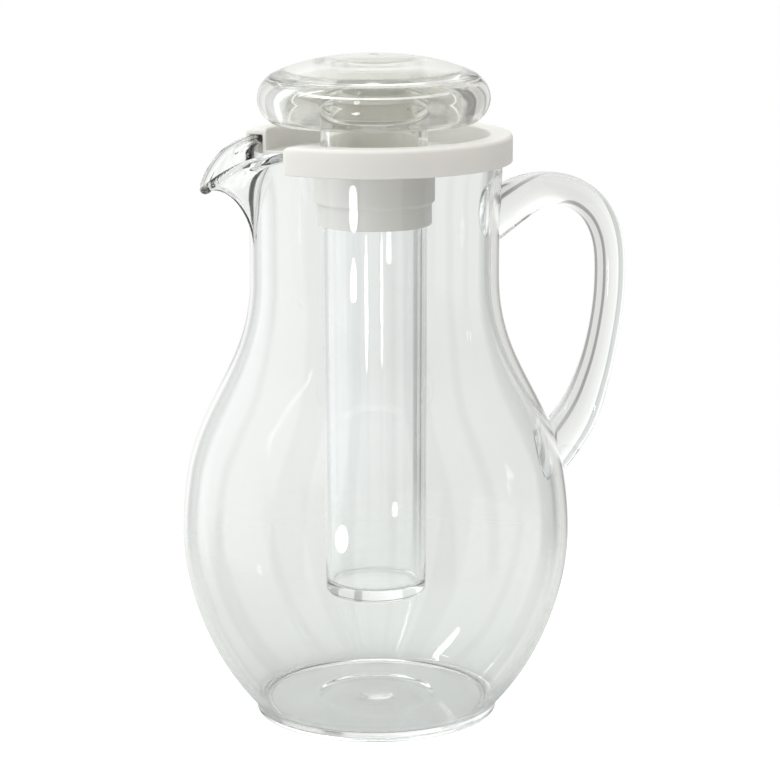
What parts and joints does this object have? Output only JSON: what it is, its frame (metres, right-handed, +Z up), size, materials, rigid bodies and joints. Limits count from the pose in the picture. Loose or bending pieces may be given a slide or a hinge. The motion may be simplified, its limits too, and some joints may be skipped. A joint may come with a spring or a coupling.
{
  "type": "pitcher with ice core",
  "caption": "Clear bulbous pitcher with a pouring lip, rod handle, clip-on collar, hanging ice tube and hollow stemmed lid.",
  "frame": {"origin": "centre of the foot's resting face, on the jug's axis", "axes": "+Z up along the jug's axis, the pouring lip points along -X and the handle along +X"},
  "size_m": [0.1766, 0.15, 0.2559],
  "materials": {
    "clear_body": "gloss, water clear with a faint cool tint",
    "clear_handle": "gloss, clear solid rod",
    "clear_tube": "gloss, water clear",
    "clear_lid": "gloss, clear, thick walled",
    "white_collar": "satin, milky white",
    "soft_seal": "matt translucent silicone"
  },
  "bodies": {
    "jug": {"jug_body": "clear_body", "handle": "clear_handle"},
    "collar": {"collar": "white_collar"},
    "ice_tube": {"ice_tube": "clear_tube"},
    "lid": {"lid_bowl": "clear_lid", "lid_cap": "clear_lid", "lid_seal": "soft_seal"}
  },
  "joints": [
    {"name": "collar_lift", "type": "slide", "parent": "jug", "child": "collar", "axis": [0, 0, 1], "range_m": [0, 0.182]},
    {"name": "tube_lift", "type": "slide", "parent": "collar", "child": "ice_tube", "axis": [0, 0, 1], "range_m": [0, 0.182]},
    {"name": "lid_lift", "type": "slide", "parent": "ice_tube", "child": "lid", "axis": [0, 0, 1], "range_m": [0, 0.03]}
  ]
}
